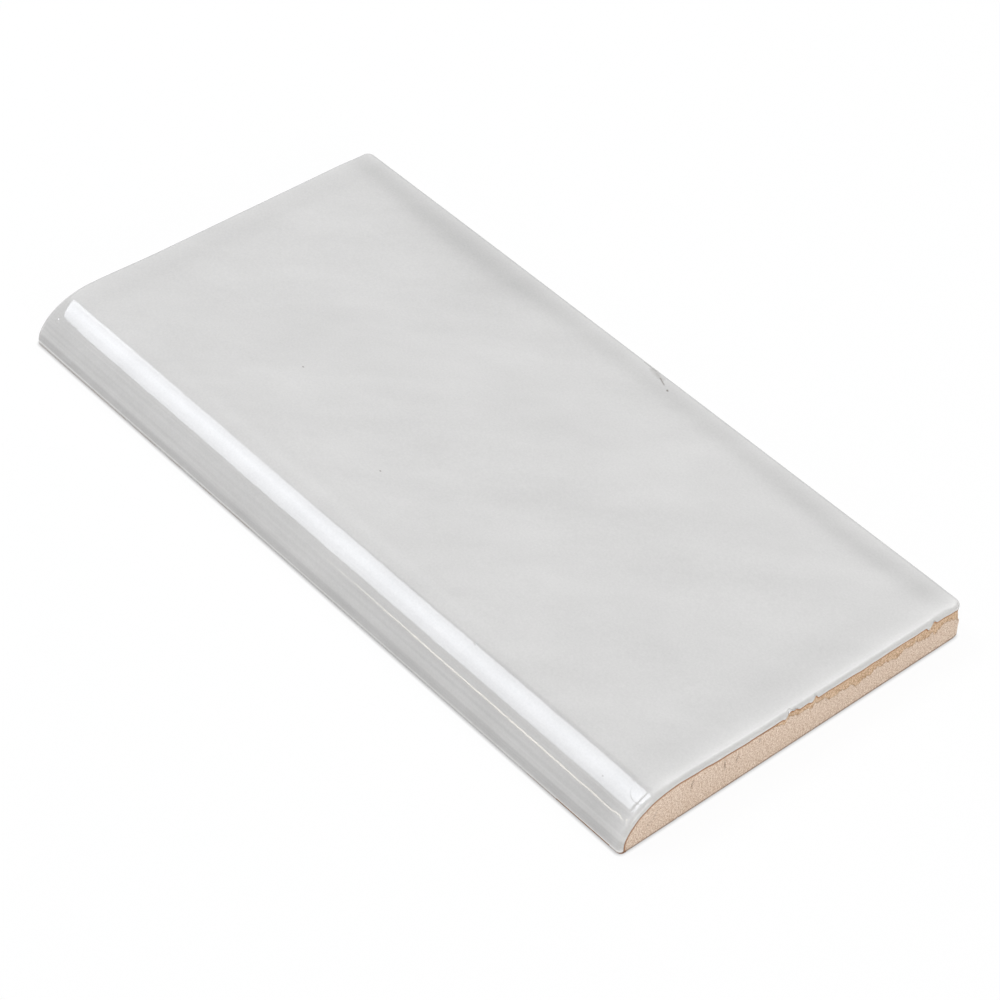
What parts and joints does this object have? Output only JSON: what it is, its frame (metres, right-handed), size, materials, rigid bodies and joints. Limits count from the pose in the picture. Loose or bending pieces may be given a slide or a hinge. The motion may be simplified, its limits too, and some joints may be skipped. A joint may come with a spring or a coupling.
{
  "type": "trim tile",
  "caption": "Glazed ceramic bullnose trim tile with one rounded long edge, three square edges and a keyed, unglazed back.",
  "frame": {"origin": "centre of the outline on the flat back, which rests on the floor", "axes": "+X along the tile, +Y from the rounded long edge to the square one, +Z out of the glazed face"},
  "size_m": [0.15, 0.075, 0.0088],
  "materials": {
    "glazed_ceramic": "gloss"
  },
  "bodies": {
    "root": {"trim_tile": "glazed_ceramic"}
  },
  "joints": []
}
